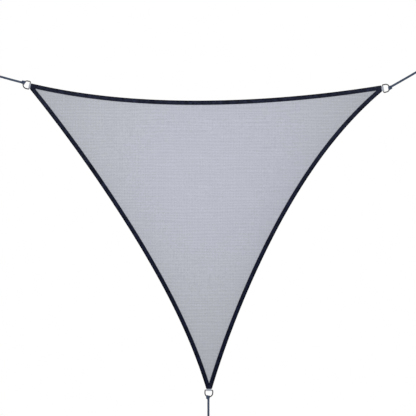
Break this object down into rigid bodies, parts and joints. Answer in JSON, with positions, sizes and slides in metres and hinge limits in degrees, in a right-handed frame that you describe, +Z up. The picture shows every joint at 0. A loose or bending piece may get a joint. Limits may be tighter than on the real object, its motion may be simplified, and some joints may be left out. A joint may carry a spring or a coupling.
{
  "type": "triangular shade sail",
  "caption": "Triangular shade sail of knitted cloth with hollowed, webbing-bound edges, a wire D-ring at each corner and a short tied rope with an eye on each ring.",
  "frame": {"origin": "middle of the round end of the left rope's eye, where its hook goes", "axes": "+X from the left corner to the right one, +Z up; the sail hangs in the XZ plane, just in front of it, and its front faces -Y"},
  "size_m": [2.5852, 0.0278, 2.1465],
  "materials": {
    "cloth": "knitted shade cloth, pale blue-grey, matte",
    "binding": "woven webbing, dark navy, matte",
    "pale_webbing": "woven webbing, pale grey, matte",
    "ring_steel": "bent wire, welded and lightly polished",
    "rope": "braided rope, slate, matte"
  },
  "bodies": {
    "root": {"sail_panel": "cloth", "border_top": "binding", "border_right": "binding", "border_left": "binding", "loop_left": "pale_webbing", "loop_right": "pale_webbing", "loop_bottom": "pale_webbing", "ring_left": "ring_steel", "ring_right": "ring_steel", "ring_bottom": "ring_steel", "ring_knot_left": "rope", "ring_knot_right": "rope", "ring_knot_bottom": "rope", "rope_left": "rope", "rope_right": "rope", "rope_bottom": "rope", "rope_eye_left": "rope", "rope_eye_right": "rope", "rope_eye_bottom": "rope"}
  },
  "joints": []
}
